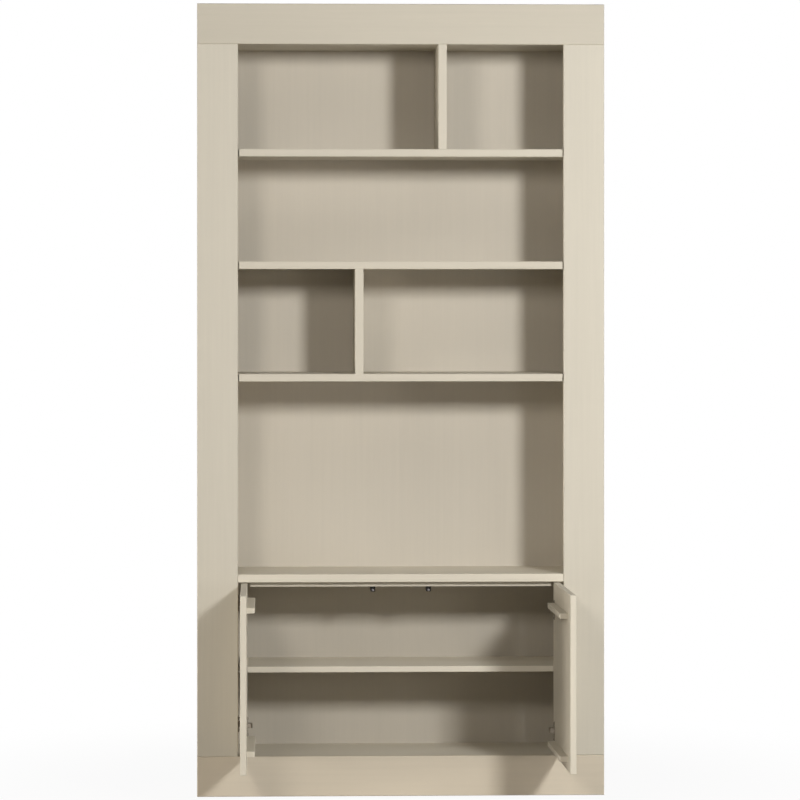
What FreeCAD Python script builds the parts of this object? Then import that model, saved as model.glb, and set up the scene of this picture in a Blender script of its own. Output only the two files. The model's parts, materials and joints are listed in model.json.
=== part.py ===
import FreeCAD, Part
import math
import os

# Bookcase with cabinet doors. Millimetres. X runs to the right, Y from the front to the rear, Z up.
# The origin is on the floor, at the middle of the width and of the depth.

# ---------------------------------------------------------------- overall and face frame
overall_width = 1080.0
overall_height = 2100.0
overall_depth = 300.0
frame_thickness = 20.0
crown_height = 107.0
upright_width = 108.0
plinth_height = 106.0
edge_easing = 1.5
fit_clearance = 0.05
bar_sides = 8

# ---------------------------------------------------------------- carcass
side_thickness = 18.0
panel_thickness = 20.0
back_thickness = 5.0
back_recess = 20.0
back_groove_depth = 8.0
back_groove_clearance = 0.2
rail_thickness = 18.0

# ---------------------------------------------------------------- shelves
bay_height = 278.0
shelf_thickness = 20.0
shelf_end_gap = 3.0
worktop_top = 588.0
worktop_thickness = 21.0
worktop_end_gap = 0.5
notch_clearance = 0.3
divider_thickness = 22.0
divider_offset = 110.5

# ---------------------------------------------------------------- cabinet
cheek_thickness = 18.0
inner_shelf_top = 341.0
inner_shelf_thickness = 15.5
inner_shelf_end_gap = 4.0
inner_shelf_setback = 28.0
shelf_pin_radius = 2.5
shelf_pin_depth = 8.0
shelf_pin_reach = 11.0
shelf_pin_collar_radius = 4.4
shelf_pin_collar_length = 1.5
shelf_pin_inset = 45.0

# ---------------------------------------------------------------- push latches
latch_rail_height = 13.0
latch_rail_depth = 40.0
latch_rail_end_gap = 32.0
latch_offset = 74.0
latch_inset = 1.0
latch_width = 13.0
latch_height = 14.0
latch_axis_above_underside = 4.5
latch_length = 38.0
latch_corner_radius = 2.0
plunger_radius = 3.0
plunger_length = 20.0
plunger_tip_easing = 1.0
plunger_clearance = 0.08
latch_tip_clearance = 0.3
latch_bore_length = 27.0
latch_screw_setback = 32.0
latch_screw_sink = 2.8
latch_screw_length = 18.0

# ---------------------------------------------------------------- doors
door_thickness = 16.0
door_hinge_gap = 3.0
door_middle_gap = 3.0
door_top_gap = 2.5
door_bottom_gap = 2.5
left_door_angle = 90.0
right_door_angle = 91.3
batten_height = 13.5
batten_depth = 21.0
batten_start = 52.0
batten_length = 318.0
batten_below_hinge = 29.5
batten_above_hinge = 14.5

# ---------------------------------------------------------------- concealed hinges
left_hinge_height = 186.0
right_hinge_height = 170.0
hinge_spacing = 322.0
cup_radius = 17.5
cup_depth = 11.5
cup_wall = 1.0
pocket_edge_reach = 15.2
pocket_inward_reach = 13.0
arm_side_play = 0.5
cup_setback = 22.5
cup_clearance = 0.1
flange_thickness = 1.2
flange_margin = 1.5
cup_screw_spacing = 42.0
cup_screw_setback = 6.0
cup_lobe_radius = 5.5
hinge_pin_inset = 15.0
hinge_pin_depth = 9.0
hinge_pin_radius = 1.5
hinge_pin_seat = 0.25
arm_strip = 2.5
arm_flange_thickness = 1.0
arm_flange_clearance = 0.15
arm_flange_front = 36.0
arm_flange_slope = 7.0
arm_knuckle_radius = 3.0
arm_exit_angle = 15.0
arm_exit_length = 13.0
arm_return_depth = 29.5
arm_bend_radius = 5.0
arm_rear_end = 79.0
plate_base = 2.0
plate_saddle = 5.75
plate_saddle_width = 10.5
plate_wing_clearance = 0.3
plate_front = 38.0
plate_half_height = 22.0
plate_wing_front = 50.0
plate_wing_rear = 62.0
plate_corner_radius = 4.0
plate_screw_spacing = 32.0
arm_screw_depth = 68.0
arm_set_screw_depth = 47.0

# ---------------------------------------------------------------- screws
screw_shank_radius = 2.0
screw_head_radius = 3.8
screw_head_height = 1.8
plate_screw_length = 14.0
cup_screw_length = 10.0
arm_screw_length = 5.0

# ---------------------------------------------------------------- planes that pieces share
X_AXIS = FreeCAD.Vector(1, 0, 0)
Y_AXIS = FreeCAD.Vector(0, 1, 0)
Z_AXIS = FreeCAD.Vector(0, 0, 1)
ORIGIN = FreeCAD.Vector(0, 0, 0)
same_place = 1e-6

front = -overall_depth / 2
rear = overall_depth / 2
frame_back = front + frame_thickness
outer_half = overall_width / 2
opening_half = outer_half - upright_width
side_inner = outer_half - side_thickness
back_rear = rear - back_recess
back_face = back_rear - back_thickness
crown_bottom = overall_height - crown_height
bottom_panel_underside = plinth_height - panel_thickness
worktop_underside = worktop_top - worktop_thickness
back_joint = worktop_top - worktop_thickness / 2
latch_rail_underside = worktop_underside - latch_rail_height
door_bottom = plinth_height + door_bottom_gap
door_top = worktop_underside - door_top_gap
door_width = opening_half - door_hinge_gap - door_middle_gap / 2
hinge_pin_x = opening_half - door_hinge_gap - hinge_pin_inset
hinge_pin_y = front + hinge_pin_depth
door_back = front + door_thickness
strip_outer = plate_saddle + arm_strip
arm_width = plate_saddle_width + 2 * (arm_flange_clearance + arm_flange_thickness)
pocket_half_height = arm_width / 2 + arm_side_play
latch_underside = latch_rail_underside - latch_height
latch_axis_height = latch_underside + latch_axis_above_underside
latch_front = frame_back + latch_inset
plunger_tip = door_back + latch_tip_clearance

SIDES = {
    "left": {"mirrored": False, "angle": left_door_angle, "hinge_height": left_hinge_height},
    "right": {"mirrored": True, "angle": right_door_angle, "hinge_height": right_hinge_height},
}


def vector(x, y, z=0.0):
    return FreeCAD.Vector(x, y, z)


def box(x0, x1, y0, y1, z0, z1):
    """A board between three pairs of planes."""
    return Part.makeBox(x1 - x0, y1 - y0, z1 - z0, vector(x0, y0, z0))


def cylinder(radius, length, start, direction):
    return Part.makeCylinder(radius, length, start, direction)


def sided_bar(half_width, length, start, direction):
    """A bar with flat sides, half_width from its axis to each. Screws, shelf pins and the holes for them are
    drawn so, because there are many and they show little."""
    turn = FreeCAD.Rotation(Z_AXIS, direction)
    step = math.radians(360 / bar_sides)
    spoke = half_width / math.cos(step / 2)
    corners = []
    for number in range(bar_sides):
        angle = (number + 0.5) * step
        corners.append(start + turn.multVec(vector(spoke * math.cos(angle), spoke * math.sin(angle))))
    return Part.Face(Part.makePolygon(corners + corners[:1])).extrude(direction * length)


def screw_hole(length, start, direction):
    return sided_bar(screw_shank_radius + fit_clearance, length, start, direction)


def in_plane(edge, axis, value):
    """Whether an edge lies in the plane where the axis has this value."""
    return all(abs(getattr(v.Point, axis) - value) < same_place for v in edge.Vertexes)


def runs_along(edge, axis):
    """Whether a straight edge runs along an axis."""
    start, end = edge.Vertexes[0].Point, edge.Vertexes[-1].Point
    return abs(getattr(end - start, axis)) > (end - start).Length - same_place > 0


def ease(shape, axis, value, size=edge_easing):
    """The shape with the edges that lie in one plane broken by a small chamfer."""
    edges = [e for e in shape.Edges if in_plane(e, axis, value)]
    return shape.makeChamfer(size, edges)


def prism(points, z0, z1):
    """A flat outline raised from z0 to z1."""
    corners = [vector(x, y, z0) for x, y in points]
    wire = Part.makePolygon(corners + corners[:1])
    return Part.Face(wire).extrude(Z_AXIS * (z1 - z0))


def on_side(shape, side):
    """What is drawn for the left, on the side that is asked for."""
    if SIDES[side]["mirrored"]:
        return shape.mirror(ORIGIN, X_AXIS)
    return shape


def opened(shape, side):
    """A piece of the closed left door, swung open on the side that is asked for."""
    axis = vector(-hinge_pin_x, hinge_pin_y)
    swung = shape.copy()
    swung.rotate(axis, Z_AXIS, -SIDES[side]["angle"])
    return on_side(swung, side)


def export(name, *shapes):
    shape = shapes[0] if len(shapes) == 1 else Part.makeCompound(list(shapes))
    shape.exportStep("parts/" + name + ".step")


# ---------------------------------------------------------------- face frame
def crown_board():
    board = box(-outer_half, outer_half, front, frame_back, crown_bottom, overall_height)
    return ease(board, "y", front)


def upright():
    board = box(-outer_half, -opening_half, front, frame_back, plinth_height, crown_bottom)
    return ease(board, "y", front)


def plinth_board():
    board = box(-outer_half, outer_half, front, frame_back, 0.0, plinth_height)
    return ease(board, "y", front)


# ---------------------------------------------------------------- carcass
def side_panel():
    """A full-height side with a stopped groove for the back."""
    board = box(-outer_half, -side_inner, frame_back, rear, 0.0, overall_height)
    groove_floor = -side_inner - back_groove_depth
    groove = box(groove_floor, -side_inner, back_face, back_rear + back_groove_clearance,
                 bottom_panel_underside, overall_height)
    return ease(board, "y", rear).cut(groove)


def carcass_panel(underside):
    return box(-side_inner, side_inner, frame_back, back_face, underside, underside + panel_thickness)


def back_panel(z0, z1):
    half = side_inner + back_groove_depth - back_groove_clearance
    return box(-half, half, back_face, back_rear, z0, z1)


def rear_plinth_rail():
    return box(-side_inner, side_inner, back_face - rail_thickness, back_face, 0.0, bottom_panel_underside)


def plinth_centre_support():
    half = rail_thickness / 2
    return box(-half, half, frame_back, back_face - rail_thickness, 0.0, bottom_panel_underside)


# ---------------------------------------------------------------- shelves
def notched_board(top, thickness, end_gap):
    """A board whose front corners are notched round the uprights, so that it lies flush between them."""
    tongue = opening_half - end_gap
    shoulder = frame_back + notch_clearance
    outline = [(-tongue, front), (tongue, front), (tongue, shoulder), (side_inner, shoulder),
               (side_inner, back_face), (-side_inner, back_face), (-side_inner, shoulder),
               (-tongue, shoulder)]
    return ease(prism(outline, top - thickness, top), "y", front, edge_easing / 2)


def shelf_top(number):
    """Height of the top of a fixed shelf, counted from 1 at the top."""
    return crown_bottom - number * bay_height - (number - 1) * shelf_thickness


def divider(x, z0, z1):
    half = divider_thickness / 2
    board = box(x - half, x + half, front, back_face, z0, z1)
    edges = [e for e in board.Edges if in_plane(e, "y", front) and runs_along(e, "z")]
    return board.makeChamfer(edge_easing / 2, edges)


# ---------------------------------------------------------------- cabinet
def shelf_pin_places():
    """Where a shelf pin enters the left cheek: (y, z) of its axis."""
    z = inner_shelf_top - inner_shelf_thickness - shelf_pin_radius
    shelf_front = front + inner_shelf_setback
    return [(shelf_front + shelf_pin_inset, z), (back_face - shelf_pin_inset, z)]


def cheek(side):
    """An inner side of the cabinet, flush with the upright, drilled for its shelf pins and hinge plates."""
    board = box(-opening_half - cheek_thickness, -opening_half, frame_back, back_face,
                plinth_height, worktop_underside)
    for y, z in shelf_pin_places():
        board = board.cut(sided_bar(shelf_pin_radius + fit_clearance, shelf_pin_depth,
                                    vector(-opening_half, y, z), -X_AXIS))
    for height in hinge_heights(side):
        for y, z in plate_screw_places(height):
            board = board.cut(screw_hole(plate_screw_length, vector(-opening_half, y, z), -X_AXIS))
    return on_side(board, side)


def inner_shelf():
    half = opening_half - inner_shelf_end_gap
    board = box(-half, half, front + inner_shelf_setback, back_face,
                inner_shelf_top - inner_shelf_thickness, inner_shelf_top)
    return ease(board, "y", front + inner_shelf_setback, edge_easing / 2)


def shelf_pin(y, z):
    """A pin: a shank in the cheek, a collar against it and a peg under the shelf."""
    mouth = vector(-opening_half, y, z)
    shank = sided_bar(shelf_pin_radius, shelf_pin_depth - fit_clearance, mouth, -X_AXIS)
    collar = sided_bar(shelf_pin_collar_radius, shelf_pin_collar_length, mouth, X_AXIS)
    peg = sided_bar(shelf_pin_radius, shelf_pin_reach, mouth, X_AXIS)
    return shank.fuse([collar, peg]).removeSplitter()


def latch_rail():
    """A rail under the worktop, short enough at its ends to clear the open doors."""
    half = opening_half - latch_rail_end_gap
    rail = box(-half, half, frame_back, frame_back + latch_rail_depth,
               latch_rail_underside, worktop_underside)
    for side in SIDES:
        rail = rail.cut(on_side(latch_screw_hole(), side))
    return rail


# ---------------------------------------------------------------- push latches
def latch_screw_seat():
    """Where the underside of the screw's head lies."""
    return vector(-latch_offset, latch_front + latch_screw_setback, latch_underside + latch_screw_sink)


def latch_screw_hole():
    return screw_hole(latch_screw_length, latch_screw_seat(), Z_AXIS)


def latch_housing():
    """A moulded body under the rail, bored for its plunger and its screw."""
    body = box(-latch_offset - latch_width / 2, -latch_offset + latch_width / 2,
               latch_front, latch_front + latch_length, latch_underside, latch_rail_underside)
    edges = [e for e in body.Edges if in_plane(e, "z", latch_underside) and runs_along(e, "y")]
    body = body.makeFillet(latch_corner_radius, edges)
    bore = cylinder(plunger_radius + plunger_clearance, latch_bore_length,
                    vector(-latch_offset, latch_front, latch_axis_height), Y_AXIS)
    recess = sided_bar(screw_head_radius + fit_clearance, latch_screw_sink, latch_screw_seat(), -Z_AXIS)
    return body.cut(bore).cut(latch_screw_hole()).cut(recess)


def plunger():
    """A round plunger with a bevelled tip."""
    tip = vector(-latch_offset, plunger_tip, latch_axis_height)
    rod = cylinder(plunger_radius, plunger_length, tip, Y_AXIS)
    rim = [e for e in rod.Edges if len(e.Vertexes) == 1 and in_plane(e, "y", plunger_tip)]
    return rod.makeChamfer(plunger_tip_easing, rim)


# ---------------------------------------------------------------- screws
def screw(place, direction, length):
    """A screw: the underside of its head lies at place, and it points along direction."""
    head = sided_bar(screw_head_radius, screw_head_height, place, -direction)
    shank = sided_bar(screw_shank_radius, length - fit_clearance, place, direction)
    return head.fuse(shank).removeSplitter()


# ---------------------------------------------------------------- hinges, drawn for the closed left door
def hinge_heights(side):
    lower = SIDES[side]["hinge_height"]
    return [lower, lower + hinge_spacing]


def plate_screw_places(height):
    y = front + (plate_wing_front + plate_wing_rear) / 2
    return [(y, height - plate_screw_spacing / 2), (y, height + plate_screw_spacing / 2)]


def bent_strip(start, heading, moves, thickness, z0, z1):
    """A strip bent in plan: its path, moved sideways by half the thickness, gives its two sides.
    Each move is (length,) for a straight stretch or (radius, turn) for an arc, positive to the left."""
    half = thickness / 2
    left, right = [], []
    x, y = start
    for move in moves:
        along = vector(math.cos(math.radians(heading)), math.sin(math.radians(heading)))
        across = vector(-along.y, along.x)
        here = vector(x, y, z0)
        if len(move) == 1:
            there = here + along * move[0]
            left.append(Part.LineSegment(here + across * half, there + across * half).toShape())
            right.append(Part.LineSegment(here - across * half, there - across * half).toShape())
        else:
            radius, turn = move
            bend = math.copysign(radius, turn)
            centre = here + across * bend

            def at(offset, angle):
                spoke = FreeCAD.Rotation(Z_AXIS, angle).multVec(-across * (bend - offset))
                return centre + spoke

            for offset, edges in ((half, left), (-half, right)):
                edges.append(Part.Arc(at(offset, 0), at(offset, turn / 2), at(offset, turn)).toShape())
            there = at(0.0, turn)
            heading += turn
        x, y = there.x, there.y
    start_cap = Part.LineSegment(right[0].Vertexes[0].Point, left[0].Vertexes[0].Point).toShape()
    end_cap = Part.LineSegment(left[-1].Vertexes[-1].Point, right[-1].Vertexes[-1].Point).toShape()
    wire = Part.Wire(Part.__sortEdges__([start_cap, end_cap] + left + right))
    return Part.Face(wire).extrude(Z_AXIS * (z1 - z0))


def arm_flanges(low, high):
    """The two folded edges that stiffen the arm and hold it straight on the plate's saddle."""
    top = -opening_half + strip_outer
    foot = -opening_half + plate_base + plate_wing_clearance
    start, end = front + arm_flange_front, front + arm_rear_end
    outline = [(top, start), (top, end), (foot, end), (foot, start + arm_flange_slope)]
    return [prism(outline, edge, edge + arm_flange_thickness) for edge in (low, high - arm_flange_thickness)]


def hinge_arm(height):
    """The fixed arm: from its knuckle on the pin it leaves the cup, doubles back behind the door's edge
    and runs along the plate, where its edges are folded down over the saddle."""
    pin = vector(-hinge_pin_x, hinge_pin_y)
    exit_rise = arm_exit_length * math.sin(math.radians(arm_exit_angle))
    return_y = front + arm_return_depth
    hook_radius = (return_y - pin.y - exit_rise) / (1 + math.cos(math.radians(arm_exit_angle)))
    hook_x = (pin.x + arm_exit_length * math.cos(math.radians(arm_exit_angle))
              - hook_radius * math.sin(math.radians(arm_exit_angle)))
    run_x = -opening_half + plate_saddle + arm_strip / 2
    return_length = hook_x - run_x - arm_bend_radius
    run_length = front + arm_rear_end - return_y - arm_bend_radius
    moves = [(arm_exit_length,), (hook_radius, 180 - arm_exit_angle), (return_length,),
             (arm_bend_radius, -90), (run_length,)]
    low, high = height - arm_width / 2, height + arm_width / 2
    arm = bent_strip((pin.x, pin.y), arm_exit_angle, moves, arm_strip, low, high)
    knuckle = cylinder(arm_knuckle_radius, arm_width, vector(pin.x, pin.y, low), Z_AXIS)
    bore = cylinder(hinge_pin_radius + fit_clearance, arm_width, vector(pin.x, pin.y, low), Z_AXIS)
    arm = arm.fuse([knuckle] + arm_flanges(low, high)).removeSplitter().cut(bore)
    for depth in (arm_screw_depth, arm_set_screw_depth):
        arm = arm.cut(screw_hole(strip_outer, vector(-opening_half, front + depth, height), X_AXIS))
    return arm


def rounded_bar(x0, x1, y0, y1, z0, z1, radius):
    bar = box(x0, x1, y0, y1, z0, z1)
    return bar.makeFillet(radius, [e for e in bar.Edges if runs_along(e, "x")])


def hinge_plate(height):
    """The mounting plate: two wings for its screws and a saddle between the arm's folded edges."""
    wall = -opening_half
    wing = rounded_bar(wall, wall + plate_base, front + plate_wing_front, front + plate_wing_rear,
                       height - plate_half_height, height + plate_half_height, plate_corner_radius)
    saddle = box(wall, wall + plate_saddle, front + plate_front, front + arm_rear_end,
                 height - plate_saddle_width / 2, height + plate_saddle_width / 2)
    plate = wing.fuse(saddle).removeSplitter()
    for y, z in plate_screw_places(height):
        plate = plate.cut(screw_hole(plate_base, vector(wall, y, z), X_AXIS))
    for depth in (arm_screw_depth, arm_set_screw_depth):
        plate = plate.cut(screw_hole(plate_saddle, vector(wall, front + depth, height), X_AXIS))
    return plate


def cup_centre():
    return -opening_half + door_hinge_gap + cup_setback


def cup_screw_places(height):
    x = cup_centre() + cup_screw_setback
    return [(x, height - cup_screw_spacing / 2), (x, height + cup_screw_spacing / 2)]


def hinge_cup(height):
    """The cup in the door: a round pot with a flange on the door's back and a pocket for the arm, whose two
    long walls hold the pin."""
    centre = vector(cup_centre(), door_back, height)
    flange = cylinder(cup_radius + flange_margin, flange_thickness, centre, Y_AXIS)
    x = cup_centre() + cup_screw_setback
    low, high = (z for _, z in cup_screw_places(height))
    web = box(x - cup_lobe_radius, x + cup_lobe_radius, door_back, door_back + flange_thickness, low, high)
    flange = flange.fuse(web)
    for place_x, z in cup_screw_places(height):
        place = vector(place_x, door_back, z)
        flange = flange.fuse(cylinder(cup_lobe_radius, flange_thickness, place, Y_AXIS))
    pot = cylinder(cup_radius, cup_depth, centre, -Y_AXIS)
    cup = flange.fuse(pot).removeSplitter()
    pocket = box(centre.x - pocket_edge_reach, centre.x + pocket_inward_reach,
                 door_back - cup_depth + cup_wall, door_back + flange_thickness,
                 height - pocket_half_height, height + pocket_half_height)
    cup = cup.cut(pocket)
    for place_x, z in cup_screw_places(height):
        cup = cup.cut(screw_hole(flange_thickness, vector(place_x, door_back, z), Y_AXIS))
    return cup.cut(hinge_pin(height, fit_clearance))


def hinge_pin(height, clearance=0.0):
    """The pin across the cup's pocket, seated in its walls."""
    half = pocket_half_height + hinge_pin_seat + clearance
    return cylinder(hinge_pin_radius + clearance, 2 * half,
                    vector(-hinge_pin_x, hinge_pin_y, height - half), Z_AXIS)


# ---------------------------------------------------------------- doors, drawn closed on the left
def door_panel(side):
    """A flush door, bored for its hinge cups."""
    hinge_edge = -opening_half + door_hinge_gap
    panel = box(hinge_edge, hinge_edge + door_width, front, door_back, door_bottom, door_top)
    panel = panel.makeChamfer(edge_easing, panel.Edges)
    for height in hinge_heights(side):
        centre = vector(cup_centre(), door_back, height)
        panel = panel.cut(cylinder(cup_radius + cup_clearance, cup_depth + cup_clearance, centre, -Y_AXIS))
        for x, z in cup_screw_places(height):
            depth = cup_screw_length - flange_thickness
            panel = panel.cut(screw_hole(depth, vector(x, door_back, z), -Y_AXIS))
    return panel


def batten(centre_height):
    """A strip on the door's back that keeps it flat."""
    start = -opening_half + door_hinge_gap + batten_start
    half = batten_height / 2
    strip = box(start, start + batten_length, door_back, door_back + batten_depth,
                centre_height - half, centre_height + half)
    return ease(strip, "y", door_back + batten_depth, edge_easing / 2)


# ================================================================ build
os.makedirs("parts", exist_ok=True)

export("crown_board", crown_board())
export("plinth_board", plinth_board())
export("top_panel", carcass_panel(crown_bottom))
export("bottom_panel", carcass_panel(bottom_panel_underside))
export("upper_back_panel", back_panel(back_joint, overall_height))
export("lower_back_panel", back_panel(bottom_panel_underside, back_joint))
export("rear_plinth_rail", rear_plinth_rail())
export("plinth_centre_support", plinth_centre_support())
for number, name in enumerate(("upper", "middle", "lower"), start=1):
    export(name + "_shelf", notched_board(shelf_top(number), shelf_thickness, shelf_end_gap))
export("worktop", notched_board(worktop_top, worktop_thickness, worktop_end_gap))
export("upper_divider", divider(divider_offset, shelf_top(1), crown_bottom))
export("lower_divider", divider(-divider_offset, shelf_top(3), shelf_top(2) - shelf_thickness))
export("inner_shelf", inner_shelf())
export("latch_rail", latch_rail())

shelf_pins = [on_side(shelf_pin(y, z), side) for side in SIDES for y, z in shelf_pin_places()]
export("shelf_pins", *shelf_pins)

latch_screws, plate_screws, arm_screws = [], [], []
for side in SIDES:
    export(side + "_upright", on_side(upright(), side))
    export(side + "_side_panel", on_side(side_panel(), side))
    export(side + "_cheek", cheek(side))
    export(side + "_latch_housing", on_side(latch_housing(), side))
    export(side + "_latch_plunger", on_side(plunger(), side))
    latch_screws.append(on_side(screw(latch_screw_seat(), Z_AXIS, latch_screw_length), side))

    export(side + "_door", opened(door_panel(side), side))
    low, high = hinge_heights(side)
    export(side + "_door_lower_batten", opened(batten(low - batten_below_hinge), side))
    export(side + "_door_upper_batten", opened(batten(high + batten_above_hinge), side))
    cup_screws = []
    for level, height in zip(("lower", "upper"), hinge_heights(side)):
        export(side + "_" + level + "_hinge_plate", on_side(hinge_plate(height), side))
        export(side + "_" + level + "_hinge_arm", on_side(hinge_arm(height), side))
        export(side + "_" + level + "_hinge_cup", opened(hinge_cup(height), side))
        export(side + "_" + level + "_hinge_pin", opened(hinge_pin(height), side))
        for y, z in plate_screw_places(height):
            place = vector(-opening_half + plate_base, y, z)
            plate_screws.append(on_side(screw(place, -X_AXIS, plate_base + plate_screw_length), side))
        for depth in (arm_screw_depth, arm_set_screw_depth):
            place = vector(-opening_half + strip_outer, front + depth, height)
            arm_screws.append(on_side(screw(place, -X_AXIS, arm_screw_length), side))
        for x, z in cup_screw_places(height):
            place = vector(x, door_back + flange_thickness, z)
            cup_screws.append(opened(screw(place, -Y_AXIS, cup_screw_length), side))
    export(side + "_cup_screws", *cup_screws)

export("latch_screws", *latch_screws)
export("hinge_plate_screws", *plate_screws)
export("hinge_arm_screws", *arm_screws)
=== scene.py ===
# %% [markdown]
# # A painted bookcase with a cabinet at its foot
#
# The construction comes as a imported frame: every board, hinge and latch is already at its place, in metres,
# with X to the right, Y from the front to the wall and Z up. This notebook dresses it: brushed paint on the
# boards, plated steel on the hinges, moulded plastic on the push latches, and real screw heads.

# %% Load the frame
import json
import math

import bpy
import numpy as np
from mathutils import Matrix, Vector


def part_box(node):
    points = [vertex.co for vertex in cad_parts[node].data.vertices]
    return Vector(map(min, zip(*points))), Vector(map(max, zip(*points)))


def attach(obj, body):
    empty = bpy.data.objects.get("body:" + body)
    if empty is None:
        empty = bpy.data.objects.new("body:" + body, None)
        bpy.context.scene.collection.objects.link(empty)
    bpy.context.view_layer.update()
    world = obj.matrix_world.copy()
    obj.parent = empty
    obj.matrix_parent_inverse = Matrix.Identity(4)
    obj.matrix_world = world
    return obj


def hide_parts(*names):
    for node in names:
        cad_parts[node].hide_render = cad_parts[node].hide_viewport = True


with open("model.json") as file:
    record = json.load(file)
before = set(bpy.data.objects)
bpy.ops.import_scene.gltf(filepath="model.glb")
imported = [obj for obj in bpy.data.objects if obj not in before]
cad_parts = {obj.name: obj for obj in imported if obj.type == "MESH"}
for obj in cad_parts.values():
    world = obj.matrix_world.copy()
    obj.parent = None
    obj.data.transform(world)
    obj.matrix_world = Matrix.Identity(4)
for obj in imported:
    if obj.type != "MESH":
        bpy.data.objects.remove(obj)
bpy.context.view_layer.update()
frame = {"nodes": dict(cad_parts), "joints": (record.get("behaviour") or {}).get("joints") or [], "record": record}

NODES = frame["nodes"]
SUBPARTS = frame["record"]["subparts"]
JOINTS = {joint["name"]: joint for joint in frame["joints"]}

# %% [markdown]
# ## Camera
#
# A tall piece of furniture looks its best through a long lens, from about eye height. The lens could be
# tilted down to take in the plinth, but then the upright boards would lean together. So it points level, and
# the picture is shifted down instead. The camera stands a little left of the middle and is turned back
# towards it.

# %% Camera
PICTURE_SIZE = 800
SENSOR_WIDTH = 36.0
FOCAL_LENGTH_IN_PIXELS = 3626.5
HORIZON_ROW = 290.5
CAMERA_PLACE = Vector((-0.345, -9.758, 1.340))
CAMERA_LEVEL, CAMERA_TURN = math.radians(90.0), math.radians(-2.04)

camera_data = bpy.data.cameras.new("camera")
camera_data.sensor_width = SENSOR_WIDTH
camera_data.lens = FOCAL_LENGTH_IN_PIXELS / PICTURE_SIZE * SENSOR_WIDTH
camera_data.shift_y = (HORIZON_ROW - PICTURE_SIZE / 2) / PICTURE_SIZE
camera = bpy.data.objects.new("camera", camera_data)
camera.location = CAMERA_PLACE
camera.rotation_euler = (CAMERA_LEVEL, 0.0, CAMERA_TURN)
bpy.context.scene.collection.objects.link(camera)
bpy.context.scene.camera = camera
print("lens", round(camera_data.lens, 1), "mm, shift", round(camera_data.shift_y, 4))

# %% [markdown]
# ## Light
#
# The key softbox on the right draws the shadows that the shelves, the dividers and the doors throw down and
# to the left: it is small and near, so their edges stay crisp. A weaker softbox on the left opens them up.
# Two wide panels under the studio's ceiling brighten what faces forward or up and hardly reach into the bays,
# so that these stay deep. Two warm boards stand low at the sides, as bounce cards do, and lift the foot, and
# a small card under the key softens its shadows. The key is aimed past the right side, so that its brightest
# part falls there. One more panel hangs behind the object, so that its back can be seen from there too.

# %% Lamps
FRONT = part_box("crown_board")[0].y
COOL_WHITE, NEAR_WHITE, WARM_WHITE = (0.97, 0.98, 1.0), (1.0, 0.982, 0.97), (1.0, 0.95, 0.9)
FOOT, LOW, MIDDLE, HIGH = (Vector((0.0, FRONT, height)) for height in (0.15, 0.9, 1.0, 1.5))
KEY_AIM = Vector((2.6, FRONT, 0.9))


def softbox(name, place, target, size, power, colour):
    """A rectangular lamp at a place, turned so that it faces the target; size is its width and height."""
    data = bpy.data.lights.new(name, "AREA")
    data.shape = "RECTANGLE"
    data.size, data.size_y = size
    data.energy = power
    data.color = colour
    lamp = bpy.data.objects.new(name, data)
    lamp.location = place
    lamp.rotation_euler = (target - Vector(place)).to_track_quat("-Z", "Y").to_euler()
    bpy.context.scene.collection.objects.link(lamp)


softbox("key_softbox", (1.91, FRONT - 4.1, 2.33), KEY_AIM, size=(0.6, 0.6), power=165.0, colour=COOL_WHITE)
softbox("fill_softbox", (-1.35, FRONT - 3.9, 2.3), HIGH, size=(0.7, 0.7), power=41.5, colour=WARM_WHITE)
softbox("left_ceiling_panel", (-4.5, FRONT - 4.5, 6.5), LOW, size=(3.0, 3.0), power=74.0, colour=NEAR_WHITE)
softbox("right_ceiling_panel", (4.5, FRONT - 4.5, 6.5), LOW, size=(3.0, 3.0), power=65.0, colour=COOL_WHITE)
softbox("left_low_board", (-4.6, FRONT - 0.8, 0.5), FOOT, size=(1.6, 0.9), power=133.0, colour=WARM_WHITE)
softbox("right_low_board", (4.2, FRONT - 2.0, 0.45), FOOT, size=(1.4, 0.8), power=49.0, colour=WARM_WHITE)
softbox("key_card", (1.8, FRONT - 3.5, 1.0), MIDDLE, size=(0.6, 0.6), power=6.5, colour=WARM_WHITE)
softbox("back_panel_lamp", (0.0, 5.5, 4.5), MIDDLE, size=(3.0, 3.0), power=108.2, colour=NEAR_WHITE)

# %% [markdown]
# ## Node helpers
#
# A finish is a small network of nodes. Written out node by node, each would hide its idea in wiring, so these
# helpers keep it readable: one makes an empty material with its shader, one adds a node with its settings,
# and the others each stand for one step, such as noise, a mix, or a change of range. Patterns read the object
# coordinates, so they stay on a door as it swings.

# %% Helpers for materials
NOISE_LOW, NOISE_HIGH = 0.3, 0.7


def new_material(name):
    """An empty node material, its tree and its Principled shader."""
    material = bpy.data.materials.new(name)
    material.use_nodes = True
    return material, material.node_tree, material.node_tree.nodes["Principled BSDF"]


def add_node(tree, kind, inputs=None, **settings):
    """A node with its settings; an input is given as a value, or as the output socket that feeds it."""
    node = tree.nodes.new(kind)
    for key, value in settings.items():
        setattr(node, key, value)
    for key, value in (inputs or {}).items():
        if isinstance(value, bpy.types.NodeSocket):
            tree.links.new(value, node.inputs[key])
        else:
            node.inputs[key].default_value = value
    return node


def noise(tree, scale, shift, detail=2.0, roughness=0.5):
    """Noise from 0 to 1 on object coordinates; a smaller scale along one axis draws it out to streaks."""
    here = add_node(tree, "ShaderNodeTexCoord").outputs["Object"]
    moved = add_node(tree, "ShaderNodeMapping", {"Vector": here, "Location": shift, "Scale": scale})
    settings = {"Vector": moved.outputs["Vector"], "Scale": 1.0, "Detail": detail, "Roughness": roughness}
    return add_node(tree, "ShaderNodeTexNoise", settings).outputs["Fac"]


def calculate(tree, operation, *values):
    """The result of one operation on one or two values."""
    return add_node(tree, "ShaderNodeMath", dict(enumerate(values)), operation=operation).outputs["Value"]


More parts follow.
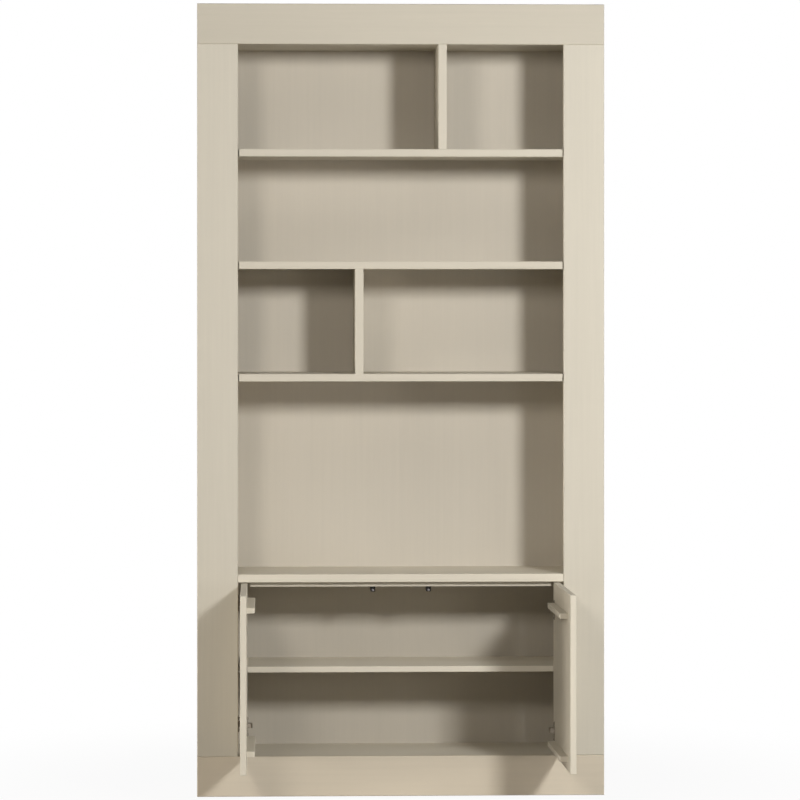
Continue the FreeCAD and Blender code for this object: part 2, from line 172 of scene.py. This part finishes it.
def blend_values(tree, first, second, share):
    """The two values mixed, with this share of the second."""
    settings = {"Factor": share, "A": first, "B": second}
    return add_node(tree, "ShaderNodeMix", settings, data_type="FLOAT").outputs["Result"]


def blend_shaders(tree, first, second, share):
    """The two shaders mixed, with this share of the second."""
    return add_node(tree, "ShaderNodeMixShader", {0: share, 1: first, 2: second}).outputs["Shader"]


def carry(tree, value, start, end, low, high, course="LINEAR"):
    """The value's range from start to end carried to the range from low to high, and kept inside it."""
    settings = {"Value": value, "From Min": start, "From Max": end, "To Min": low, "To Max": high}
    return add_node(tree, "ShaderNodeMapRange", settings, interpolation_type=course).outputs["Result"]


def ramp(tree, value, low, high):
    """Noise, which lies mostly between NOISE_LOW and NOISE_HIGH, carried to the range from low to high."""
    return carry(tree, value, NOISE_LOW, NOISE_HIGH, low, high)


def tint(tree, shader, colour, shade):
    """The shader's base colour, as this colour times the shade."""
    tinted = add_node(tree, "ShaderNodeVectorMath", {0: colour, "Scale": shade}, operation="SCALE")
    tree.links.new(tinted.outputs["Vector"], shader.inputs["Base Color"])


def emboss(tree, shader, height, strength, distance):
    """The shader's normal, bumped by a height from 0 to 1 that stands for this distance."""
    bump = add_node(tree, "ShaderNodeBump", {"Strength": strength, "Distance": distance, "Height": height})
    tree.links.new(bump.outputs["Normal"], shader.inputs["Normal"])


print("noise is read from", NOISE_LOW, "to", NOISE_HIGH)

# %% [markdown]
# ## Brushed paint on pine
#
# The boards are pine under a matt sand-coloured paint. A brush leaves fine ridges along the board, and the
# wood's own soft rings show through as long, faint streaks. Bands of waves would come out too even for that,
# so the pattern is noise drawn out along the grain: one noise for the streaks a finger wide, a finer one for
# the bristle marks, and a broad one for the slow drift of tone over a whole board. The direction changes with
# the board, so each direction is a material. A few boards are painted lighter or darker than the rest to
# stand in for light and shade: painted light on the worktop, the inner shelf, the cabinet floor and, warmer,
# the plinth, and painted shade on the cabinet's back; the upper back is a shade lighter. The door and batten
# paints carry a painted highlight on their faces that look along Y.

# %% Paint
PAINT, BACK_PAINT = (0.521, 0.480, 0.393), (0.518, 0.474, 0.395)
# The plinth's paint is warmer than the rest: painted warm light at the foot.
UPRIGHT_PAINT, PLINTH_PAINT = (0.513, 0.477, 0.396), (0.531, 0.470, 0.370)
PAINT_ROUGHNESS, PAINT_SHINE = (0.52, 0.66), 0.2
PATTERN_PLACE = (3.1, 7.7, 1.9)
STREAK_WIDTH, STREAK_LENGTH = 0.009, 0.35
BRISTLE_WIDTH, BRISTLE_LENGTH, BRISTLE_HARSHNESS = 0.0014, 0.09, 0.6
DRIFT_WIDTH, DRIFT_LENGTH = 0.16, 0.9
BRISTLE_SHARE, DRIFT_SHARE = 0.35, 0.4
DARK_STREAK, LIGHT_STREAK = 0.045, 0.035
RIDGE_STRENGTH, RIDGE_HEIGHT = 0.3, 0.0003
HIGHLIGHT_BEGINS, HIGHLIGHT_WHOLE = 0.6, 0.9


def along_grain(grain, width, length):
    """Noise scale per axis: one over the length along the grain, one over the width across it."""
    return tuple(1.0 / (length if axis == grain else width) for axis in "xyz")


def painted_highlight(tree, lift):
    """A painted highlight: this lift on the faces that look along Y, fading out on faces that are turned away from
    it.
    """
    facing = add_node(tree, "ShaderNodeTexCoord").outputs["Normal"]
    along_y = add_node(tree, "ShaderNodeSeparateXYZ", {"Vector": facing}).outputs["Y"]
    return carry(tree, calculate(tree, "ABSOLUTE", along_y), HIGHLIGHT_BEGINS, HIGHLIGHT_WHOLE, 0.0, lift)


def brushed_paint(name, grain, shift=0.0, strength=1.0, depth=1.0, colour=PAINT, streak_width=STREAK_WIDTH,
                  edge_highlight=0.0):
    """Matt brushed paint whose streaks run along one axis.

    The shift moves the pattern, and the strength is that of the streaks. The depth scales the tone: under one it
    is darker, over one lighter. The edge highlight is a painted highlight: the faces that look along Y, such as
    the sawn edges and the ends of the battens, come out this much lighter, as if more light fell on them; the tone
    of a paint with such a highlight leaves out the bristle marks.
    """
    material, tree, shader = new_material(name)
    place = tuple(start + shift for start in PATTERN_PLACE)
    streaks = noise(tree, along_grain(grain, streak_width, STREAK_LENGTH), place)
    bristle_scale = along_grain(grain, BRISTLE_WIDTH, BRISTLE_LENGTH)
    bristles = noise(tree, bristle_scale, place, roughness=BRISTLE_HARSHNESS)
    drift = noise(tree, along_grain(grain, DRIFT_WIDTH, DRIFT_LENGTH), place, detail=1.0)
    marks = blend_values(tree, streaks, bristles, BRISTLE_SHARE)
    tone = blend_values(tree, streaks if edge_highlight else marks, drift, DRIFT_SHARE)
    darkest = depth * (1.0 - DARK_STREAK * strength)
    lightest = depth * (1.0 + LIGHT_STREAK * strength)
    shade = ramp(tree, tone, darkest, lightest)
    if edge_highlight:
        shade = calculate(tree, "ADD", shade, painted_highlight(tree, edge_highlight))
    tint(tree, shader, colour, shade)
    tree.links.new(ramp(tree, marks, *PAINT_ROUGHNESS), shader.inputs["Roughness"])
    emboss(tree, shader, marks, RIDGE_STRENGTH, RIDGE_HEIGHT)
    shader.inputs["Specular IOR Level"].default_value = PAINT_SHINE
    return material


PAINTS = {
    "frame_paint_level": brushed_paint("level_frame_paint", "x", depth=0.9),
    "frame_paint_upright": brushed_paint("upright_frame_paint", "z", shift=0.7, colour=UPRIGHT_PAINT),
    "carcass_paint_upright": brushed_paint("upright_carcass_paint", "z", shift=1.9),
    "shelf_paint": brushed_paint("shelf_paint", "x", shift=2.6, depth=0.97),
    "hidden_rail_paint": brushed_paint("rail_paint", "x", shift=4.2),
    # The door and batten paints are a shade lighter and carry a painted highlight on their faces that look along
    # Y: painted light on the door edges and the batten ends.
    "door_paint": brushed_paint("door_paint", "z", shift=5.3, strength=2.0, depth=1.06, streak_width=0.02,
                                edge_highlight=0.07),
    "batten_paint": brushed_paint("batten_paint", "y", shift=6.1, depth=1.04, edge_highlight=0.2),
}
# These boards' paint is made lighter or darker to stand in for light and shade: painted light on the plinth, the
# worktop, the inner shelf and the cabinet floor, and painted shade on the lower back inside the cabinet; the upper
# back is a shade lighter.
RETONED_BOARDS = {
    "plinth_board": brushed_paint("plinth_paint", "x", shift=8.4, depth=1.04, colour=PLINTH_PAINT),
    "worktop": brushed_paint("worktop_paint", "x", shift=11.3, depth=1.16),
    "inner_shelf": brushed_paint("inner_shelf_paint", "x", shift=9.7, depth=1.25),
    "bottom_panel": brushed_paint("cabinet_floor_paint", "x", shift=12.6, depth=1.1),
    "upper_back_panel": brushed_paint("upper_back_paint", "z", shift=1.9, strength=0.8, depth=1.06,
                                      colour=BACK_PAINT),
    "lower_back_panel": brushed_paint("lower_back_paint", "z", shift=2.2, strength=0.8, depth=0.87,
                                      colour=BACK_PAINT),
}
print(len(PAINTS), "paints and", len(RETONED_BOARDS), "boards from another batch")

# %% [markdown]
# ## Steel and plastic
#
# The hinges are pressed from steel strip and nickel plated: metallic, satin, with faint rolling marks. The
# screws are zinc plated, a little smoother and cooler in tone. The latches are moulded in black plastic with
# a fine spark-eroded grain, and their plungers in grey. Scratches and dirt could be laid over them, but the
# fittings are new and small, so one fine noise does for the tone, the roughness and the bump of each.

# %% Metal and plastic


def grained(name, colour, grain_size, place, shade, roughness, bump):
    """A finish that follows one fine noise: shade and roughness are ranges, bump is strength and height."""
    material, tree, shader = new_material(name)
    grain = noise(tree, (1.0 / grain_size,) * 3, place)
    tint(tree, shader, colour, ramp(tree, grain, *shade))
    tree.links.new(ramp(tree, grain, *roughness), shader.inputs["Roughness"])
    emboss(tree, shader, grain, *bump)
    return material, shader


def plated_steel(name, colour, roughness, grain_size):
    """Satin plated steel with fine marks."""
    material, shader = grained(name, colour, grain_size, place=(0.4, 0.2, 0.9), shade=(0.9, 1.08),
                               roughness=(roughness - 0.06, roughness + 0.08), bump=(0.12, 0.00005))
    shader.inputs["Metallic"].default_value = 1.0
    return material


def moulded_plastic(name, colour, roughness, grain_size):
    """Matt moulded plastic with a fine even grain."""
    material, shader = grained(name, colour, grain_size, place=(0.1, 0.5, 0.3), shade=(0.9, 1.15),
                               roughness=(roughness - 0.05, roughness + 0.1), bump=(0.25, 0.0001))
    shader.inputs["Specular IOR Level"].default_value = 0.25
    return material


FITTINGS = {
    "hinge_steel": plated_steel("nickel_plate", (0.25, 0.218, 0.175), roughness=0.45, grain_size=0.004),
    "screw_steel": plated_steel("zinc_plate", (0.24, 0.22, 0.19), roughness=0.4, grain_size=0.002),
    "shelf_pin_steel": plated_steel("pin_nickel", (0.56, 0.55, 0.53), roughness=0.25, grain_size=0.003),
    "latch_black": moulded_plastic("black_plastic", (0.008, 0.007, 0.006), roughness=0.75, grain_size=0.0012),
    "plunger_grey": moulded_plastic("grey_plastic", (0.22, 0.21, 0.21), roughness=0.6, grain_size=0.0012),
}
print(len(FITTINGS), "fittings' finishes")

# %% [markdown]
# ## Put the finishes on
#
# The finishes could be handed out by the nodes' names, but the record already names a slot for every node. So
# the finish follows the slot, apart from the retoned boards that carry painted light or shade, and a node that
# is added later gets its finish without a change here.

# %% Dress every node
FINISHES = {**PAINTS, **FITTINGS}
for part in SUBPARTS:
    finish = RETONED_BOARDS.get(part["node"], FINISHES[part["material_slot"]])
    for socket in NODES[part["node"]].material_slots:
        socket.material = finish
print("dressed", len(SUBPARTS), "nodes")

# %% [markdown]
# ## Screws
#
# The frame's screws are eight-sided bars, which is all that the construction needs. A real one is round, with
# a domed head and a cross pressed into it. It could be turned with a screw modifier and cut with a boolean,
# but one surface is simpler: rings run from the middle of the head over the dome, under the rim and down the
# shank, and a cross-shaped recess that deepens towards the middle is taken off the dome's height.

# %% The surface of one screw
HEAD_RADIUS, HEAD_HEIGHT, SHANK_RADIUS = 0.0038, 0.0018, 0.0019
DOME_POWER = 0.3
CROSS_ARM, CROSS_HALF_WIDTH, CROSS_DEPTH = 0.0024, 0.00045, 0.0013
CROSS_SIDE_SLOPE, CROSS_END_SLOPE = 0.0002, 0.0003
HEAD_RINGS, SPOKES = 20, 48
RINGS = HEAD_RINGS + 2


def soft_step(depth, slope):
    """From 0 outside an edge to 1 inside it: the depth behind the edge over the slope's width, plus half."""
    return np.clip(depth / slope + 0.5, 0.0, 1.0)


def screw_surface(length):
    """Rings of points about the Z axis, the head's underside on z = 0 and its dome upwards, and two poles.

    The dome is HEAD_HEIGHT times one minus the square of r over HEAD_RADIUS, to the power DOME_POWER. The
    recess is a soft step of the distance from the nearer arm of the cross, times another of the distance from
    the arm's end, and it is half as deep at the end of an arm as in the middle.
    """
    swing = np.linspace(0.0, np.pi / 2, HEAD_RINGS + 1)[1:]
    dome_radius = HEAD_RADIUS * np.sin(swing)
    dome = HEAD_HEIGHT * np.clip(1.0 - (dome_radius / HEAD_RADIUS) ** 2, 0.0, 1.0) ** DOME_POWER
    radius = np.append(dome_radius, [SHANK_RADIUS, SHANK_RADIUS])[:, None]
    height = np.append(dome, [0.0, -length])[:, None]
    angle = np.linspace(0.0, 2 * np.pi, SPOKES, endpoint=False)[None, :]
    x, y = radius * np.cos(angle), radius * np.sin(angle)
    across, along = np.minimum(np.abs(x), np.abs(y)), np.maximum(np.abs(x), np.abs(y))
    sides = soft_step(CROSS_HALF_WIDTH - across, CROSS_SIDE_SLOPE)
    ends = soft_step(CROSS_ARM - along, CROSS_END_SLOPE)
    inside = sides * ends * (height > 0.0)
    z = height - CROSS_DEPTH * inside * (1.0 - 0.5 * along / CROSS_ARM)
    rings = np.stack([x, y, z], axis=-1).reshape(-1, 3)
    return np.vstack([rings, [[0.0, 0.0, HEAD_HEIGHT - CROSS_DEPTH], [0.0, 0.0, -length]]])


def screw_faces():
    """Quads between neighbouring rings, and a fan of triangles round each pole."""
    ring, spoke = np.meshgrid(np.arange(RINGS - 1), np.arange(SPOKES), indexing="ij")
    following = (spoke + 1) % SPOKES
    quads = np.stack([ring * SPOKES + spoke, (ring + 1) * SPOKES + spoke,
                      (ring + 1) * SPOKES + following, ring * SPOKES + following], axis=-1).reshape(-1, 4)
    first, after = np.arange(SPOKES), (np.arange(SPOKES) + 1) % SPOKES
    top, bottom = RINGS * SPOKES, RINGS * SPOKES + 1
    last = (RINGS - 1) * SPOKES
    head_fan = np.stack([np.full(SPOKES, top), first, after], axis=-1)
    tip_fan = np.stack([np.full(SPOKES, bottom), last + after, last + first], axis=-1)
    return quads.tolist() + head_fan.tolist() + tip_fan.tolist()


print("a screw has", RINGS * SPOKES + 2, "points and", len(screw_faces()), "faces")

# %% [markdown]
# ## Where the screws stand
#
# The places could be listed by hand, but the construction already holds each screw, so its place, its
# direction and its length are read off there: the points of one screw lie close together across its own axis,
# and the next screw starts well beyond them. Each set of screws becomes one piece, which takes the place of
# the bars.

# %% Set the screws
ONE_SCREW_ACROSS = 0.0095
RIGHT, LEFT, DOWN = (1.0, 0.0, 0.0), (-1.0, 0.0, 0.0), (0.0, 0.0, -1.0)
right_door_turn = math.radians(-JOINTS["right_door_swing"]["range_deg"][0])
OFF_THE_RIGHT_DOOR = (-math.sin(right_door_turn), math.cos(right_door_turn), 0.0)


def screw_places(node, outward, side):
    """Place of the seat and length below it, for each screw of a node.

    A side of -1 or 1 keeps only what lies left or right of the middle, and 0 keeps it all.
    """
    mesh = NODES[node].data
    points = np.empty(3 * len(mesh.vertices))
    mesh.vertices.foreach_get("co", points)
    points = points.reshape(-1, 3)
    points = points[points[:, 0] * side >= 0.0]
    places = []
    while len(points):
        offset = points - points[0]
        across = offset - np.outer(offset @ outward, outward)
        own = np.linalg.norm(across, axis=1) < ONE_SCREW_ACROSS
        reach = points[own] @ outward
        middle = (points[own].min(axis=0) + points[own].max(axis=0)) / 2
        seat = middle + outward * (reach.max() - HEAD_HEIGHT - middle @ outward)
        places.append((seat, reach.max() - reach.min() - HEAD_HEIGHT))
        points = points[~own]
    return places


def set_screws(name, body, sets):
    """One piece with a screw at every place of these (node, outward direction, side) sets."""
    points, faces = [], []
    for node, outward, side in sets:
        turn = np.array(Vector(outward).to_track_quat("Z", "Y").to_matrix())
        for seat, length in screw_places(node, np.array(outward), side):
            start = sum(len(block) for block in points)
            points.append(screw_surface(length) @ turn.T + seat)
            faces += [[start + corner for corner in face] for face in screw_faces()]
    mesh = bpy.data.meshes.new(name)
    mesh.from_pydata(np.vstack(points).tolist(), [], faces)
    mesh.polygons.foreach_set("use_smooth", np.ones(len(mesh.polygons), bool))
    mesh.materials.append(FINISHES["screw_steel"])
    piece = bpy.data.objects.new(name, mesh)
    bpy.context.scene.collection.objects.link(piece)
    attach(piece, body)
    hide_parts(sets[0][0])
    print(name, len(points), "screws")


set_screws("latch_cross_screws", "cabinet", [("latch_screws", DOWN, 0)])
for kind in ("plate", "arm"):
    bars = f"hinge_{kind}_screws"
    set_screws(f"{kind}_cross_screws", "cabinet", [(bars, RIGHT, -1), (bars, LEFT, 1)])
set_screws("left_cup_cross_screws", "left_door", [("left_cup_screws", RIGHT, 0)])
set_screws("right_cup_cross_screws", "right_door", [("right_cup_screws", OFF_THE_RIGHT_DOOR, 0)])

# %% [markdown]
# ## Floor
#
# The floor is a plain warm grey sheet that carries the shadow. A sheet that curves up behind the object would
# hide the horizon from one side only. So the sheet is flat, and its colour does that work: straight below the
# object the camera sees the lit sheet itself, mixed with plain white, and further out the white takes over by
# a smooth step of the distance.

# %% Floor
FLOOR_HALF = 30.0
FLOOR_COLOUR = (0.42, 0.40, 0.37, 1.0)
FLOOR_ROUGHNESS, FLOOR_SHINE = 0.9, 0.1
WHITE = (1.0, 1.0, 1.0, 1.0)
WHITE_NEAR, FADE_START, FADE_END = 0.94, 0.6, 1.8

floor_mesh = bpy.data.meshes.new("floor")
corners = [(x * FLOOR_HALF, y * FLOOR_HALF, 0.0) for x, y in ((-1, -1), (1, -1), (1, 1), (-1, 1))]
floor_mesh.from_pydata(corners, [], [(0, 1, 2, 3)])
floor = bpy.data.objects.new("floor", floor_mesh)
bpy.context.scene.collection.objects.link(floor)

material, tree, shader = new_material("pale_floor")
shader.inputs["Base Color"].default_value = FLOOR_COLOUR
shader.inputs["Roughness"].default_value = FLOOR_ROUGHNESS
shader.inputs["Specular IOR Level"].default_value = FLOOR_SHINE
here = add_node(tree, "ShaderNodeTexCoord").outputs["Object"]
distance = add_node(tree, "ShaderNodeVectorMath", {0: here}, operation="LENGTH").outputs["Value"]
fade = carry(tree, distance, FADE_START, FADE_END, WHITE_NEAR, 1.0, "SMOOTHSTEP")
white = add_node(tree, "ShaderNodeEmission", {"Color": WHITE, "Strength": 1.0}).outputs["Emission"]
path = add_node(tree, "ShaderNodeLightPath")
share = calculate(tree, "MULTIPLY", path.outputs["Is Camera Ray"], fade)
mixed = blend_shaders(tree, shader.outputs["BSDF"], white, share)
tree.links.new(mixed, tree.nodes["Material Output"].inputs["Surface"])
floor_mesh.materials.append(material)
print("floor", 2 * FLOOR_HALF, "m square, white from", FADE_END, "m out")

# %% [markdown]
# ## Background
#
# The camera, and anything that mirrors the room, sees the world as plain white. If that white also lit the
# boards, it would fill the bays, so to every other ray the world is nearly dark, and the lamps alone model
# the bays. The view transform is Standard, so a colour comes out as it is written.

# %% World
AMBIENT = 0.01

world = bpy.data.worlds.new("studio")
world.use_nodes = True
bpy.context.scene.world = world
tree = world.node_tree
glow = tree.nodes["Background"]
glow.inputs["Color"].default_value = WHITE
glow.inputs["Strength"].default_value = AMBIENT
white = add_node(tree, "ShaderNodeBackground", {"Color": WHITE, "Strength": 1.0}).outputs["Background"]
path = add_node(tree, "ShaderNodeLightPath")
seen = path.outputs["Is Camera Ray"]
for ray in ("Is Glossy Ray", "Is Transmission Ray"):
    seen = calculate(tree, "MAXIMUM", seen, path.outputs[ray])
mixed = blend_shaders(tree, glow.outputs["Background"], white, seen)
tree.links.new(mixed, tree.nodes["World Output"].inputs["Surface"])
bpy.context.scene.view_settings.view_transform = "Standard"
print("ambient", AMBIENT)
